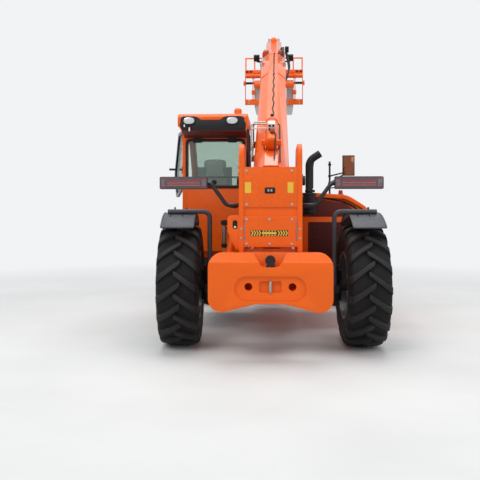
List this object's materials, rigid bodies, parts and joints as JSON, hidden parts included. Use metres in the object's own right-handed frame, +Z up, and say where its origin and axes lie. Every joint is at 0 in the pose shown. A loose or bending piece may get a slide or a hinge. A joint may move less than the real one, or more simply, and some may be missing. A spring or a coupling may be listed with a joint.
{
  "type": "telehandler",
  "caption": "Telescopic handler with a raised two-section boom on a rear tower, a side cab, an engine pod, four steered wheels and a fork carriage",
  "frame": {"origin": "Middle of the overall length and width, on the ground", "axes": "+Y forward towards the forks, +X to the machine's right, +Z up"},
  "size_m": [2.286, 7.5497, 4.2196],
  "materials": {
    "orange_paint": "gloss powder coat",
    "orange_casting": "painted rough casting",
    "black_paint": "satin black enamel",
    "dark_steel": "dark machined steel",
    "axle_iron": "painted cast iron",
    "rim_paint": "grey enamel",
    "tyre_rubber": "moulded tyre rubber",
    "black_plastic": "grained black plastic",
    "tinted_glass": "green tinted safety glass",
    "seat_fabric": "woven seat cover",
    "seat_iron": "black enamel",
    "control_plastic": "moulded plastic",
    "rubber_mount": "moulded rubber",
    "engine_iron": "cast iron",
    "lamp_plastic": "red lamp lens in a grey case",
    "amber_plastic": "amber dome",
    "wear_pad": "cast nylon",
    "chrome_rod": "hard chrome",
    "white_paint": "white enamel",
    "fork_steel": "worn black enamel"
  },
  "bodies": {
    "chassis": {"frame": "orange_paint", "chassis_pins": "dark_steel", "counterweight": "orange_casting", "rear_covers": "orange_paint", "axle_rear": "axle_iron", "axle_front": "axle_iron", "cab_rear_wall": "orange_paint", "cab_right_wall": "orange_paint", "cab_left_frame": "orange_paint", "cab_front_wall": "orange_paint", "cab_floor": "black_paint", "cab_roof": "orange_paint", "cab_glass": "tinted_glass", "seat_base": "seat_iron", "seat_cushions": "seat_fabric", "cab_controls": "control_plastic", "side_tank": "black_paint", "pod_shell": "orange_paint", "pod_end_panels": "black_paint", "engine_block": "engine_iron", "exhaust": "black_paint", "light_bars": "lamp_plastic", "light_brackets": "black_paint", "beacon": "amber_plastic", "mirror": "black_plastic", "cab_visor": "black_plastic"},
    "knuckle_rear_left": {"knuckle_rear_left": "axle_iron", "fender_rear_left": "black_plastic"},
    "wheel_rear_left": {"tyre_rear_left": "tyre_rubber", "rim_rear_left": "rim_paint"},
    "knuckle_rear_right": {"knuckle_rear_right": "axle_iron", "fender_rear_right": "black_plastic"},
    "wheel_rear_right": {"tyre_rear_right": "tyre_rubber", "rim_rear_right": "rim_paint"},
    "knuckle_front_left": {"knuckle_front_left": "axle_iron", "fender_front_left": "black_plastic"},
    "wheel_front_left": {"tyre_front_left": "tyre_rubber", "rim_front_left": "rim_paint"},
    "knuckle_front_right": {"knuckle_front_right": "axle_iron", "fender_front_right": "black_plastic"},
    "wheel_front_right": {"tyre_front_right": "tyre_rubber", "rim_front_right": "rim_paint"},
    "door": {"door_lower": "orange_paint", "door_window_frame": "orange_paint", "door_glass": "tinted_glass"},
    "hood": {"engine_hood": "orange_paint"},
    "boom_outer": {"boom_outer": "orange_paint", "boom_wear_pads": "wear_pad", "boom_top_cylinder": "black_paint", "boom_valve": "white_paint", "boom_cable": "rubber_mount", "work_lights": "black_plastic"},
    "boom_inner": {"boom_inner": "orange_paint"},
    "carriage": {"carriage": "orange_paint", "carriage_pins": "dark_steel", "forks": "fork_steel"},
    "lift_barrel": {"lift_barrel": "orange_paint"},
    "lift_rod": {"lift_rod": "chrome_rod"},
    "tilt_barrel": {"tilt_barrel": "orange_paint"},
    "tilt_rod": {"tilt_rod": "chrome_rod"}
  },
  "joints": [
    {"name": "steer_rear_left", "type": "hinge", "parent": "chassis", "child": "knuckle_rear_left", "pos_m": [-0.52, -2.995, 0.573], "axis": [0, 0, 1], "range_deg": [-36, 30]},
    {"name": "spin_rear_left", "type": "hinge", "parent": "knuckle_rear_left", "child": "wheel_rear_left", "pos_m": [-0.78164, -3.00871, 0.573], "axis": [0.9986, 0.0523, 0], "continuous": true},
    {"name": "steer_rear_right", "type": "hinge", "parent": "chassis", "child": "knuckle_rear_right", "pos_m": [0.66, -2.995, 0.573], "axis": [0, 0, 1], "range_deg": [-36, 30]},
    {"name": "spin_rear_right", "type": "hinge", "parent": "knuckle_rear_right", "child": "wheel_rear_right", "pos_m": [0.92164, -2.98129, 0.573], "axis": [0.9986, 0.0523, 0], "continuous": true},
    {"name": "steer_front_left", "type": "hinge", "parent": "chassis", "child": "knuckle_front_left", "pos_m": [-0.52, 0.005, 0.573], "axis": [0, 0, 1], "range_deg": [-33, 33]},
    {"name": "spin_front_left", "type": "hinge", "parent": "knuckle_front_left", "child": "wheel_front_left", "pos_m": [-0.782, 0.005, 0.573], "axis": [1, 0, 0], "continuous": true},
    {"name": "steer_front_right", "type": "hinge", "parent": "chassis", "child": "knuckle_front_right", "pos_m": [0.66, 0.005, 0.573], "axis": [0, 0, 1], "range_deg": [-33, 33]},
    {"name": "spin_front_right", "type": "hinge", "parent": "knuckle_front_right", "child": "wheel_front_right", "pos_m": [0.922, 0.005, 0.573], "axis": [1, 0, 0], "continuous": true},
    {"name": "door_swing", "type": "hinge", "parent": "chassis", "child": "door", "pos_m": [-0.8983, -2.115, 1.378], "axis": [0, 0, 1], "range_deg": [0, 85]},
    {"name": "hood_lift", "type": "hinge", "parent": "chassis", "child": "hood", "pos_m": [0.358, -1.52, 1.452], "axis": [0, -1, 0], "range_deg": [0, 60]},
    {"name": "boom_lift", "type": "hinge", "parent": "chassis", "child": "boom_outer", "pos_m": [0.07, -3.195, 1.548], "axis": [1, 0, 0], "range_deg": [-28, 40]},
    {"name": "boom_extend", "type": "slide", "parent": "boom_outer", "child": "boom_inner", "axis": [0, 0.9056, 0.4242], "range_m": [-0.74, 1.9]},
    {"name": "carriage_tilt", "type": "hinge", "parent": "boom_inner", "child": "carriage", "pos_m": [0.07, 2.45473, 3.4381], "axis": [1, 0, 0], "range_deg": [-60, 40]},
    {"name": "lift_barrel_swing", "type": "hinge", "parent": "chassis", "child": "lift_barrel", "pos_m": [0.07, -3.095, 0.848], "axis": [1, 0, 0], "range_deg": [-22, 31.4]},
    {"name": "lift_rod_slide", "type": "slide", "parent": "lift_barrel", "child": "lift_rod", "axis": [0, 0.8361, 0.5486], "range_m": [-0.296, 0.422]},
    {"name": "tilt_barrel_swing", "type": "hinge", "parent": "boom_inner", "child": "tilt_barrel", "pos_m": [0.07, 1.7525, 3.81037], "axis": [1, 0, 0], "range_deg": [-2.9, 4.3]},
    {"name": "tilt_rod_slide", "type": "slide", "parent": "tilt_barrel", "child": "tilt_rod", "axis": [0, 0.9436, -0.331], "range_m": [-0.083, 0.124]}
  ],
  "couplings": [
    {"joint": "lift_barrel_swing", "follows": "boom_lift", "ratio": 0.78},
    {"joint": "lift_rod_slide", "follows": "boom_lift", "m_per_rad": 0.6},
    {"joint": "tilt_barrel_swing", "follows": "carriage_tilt", "ratio": -0.0687},
    {"joint": "tilt_rod_slide", "follows": "carriage_tilt", "m_per_rad": -0.116},
    {"joint": "steer_rear_right", "follows": "steer_rear_left", "ratio": 1},
    {"joint": "steer_front_right", "follows": "steer_front_left", "ratio": 1}
  ]
}
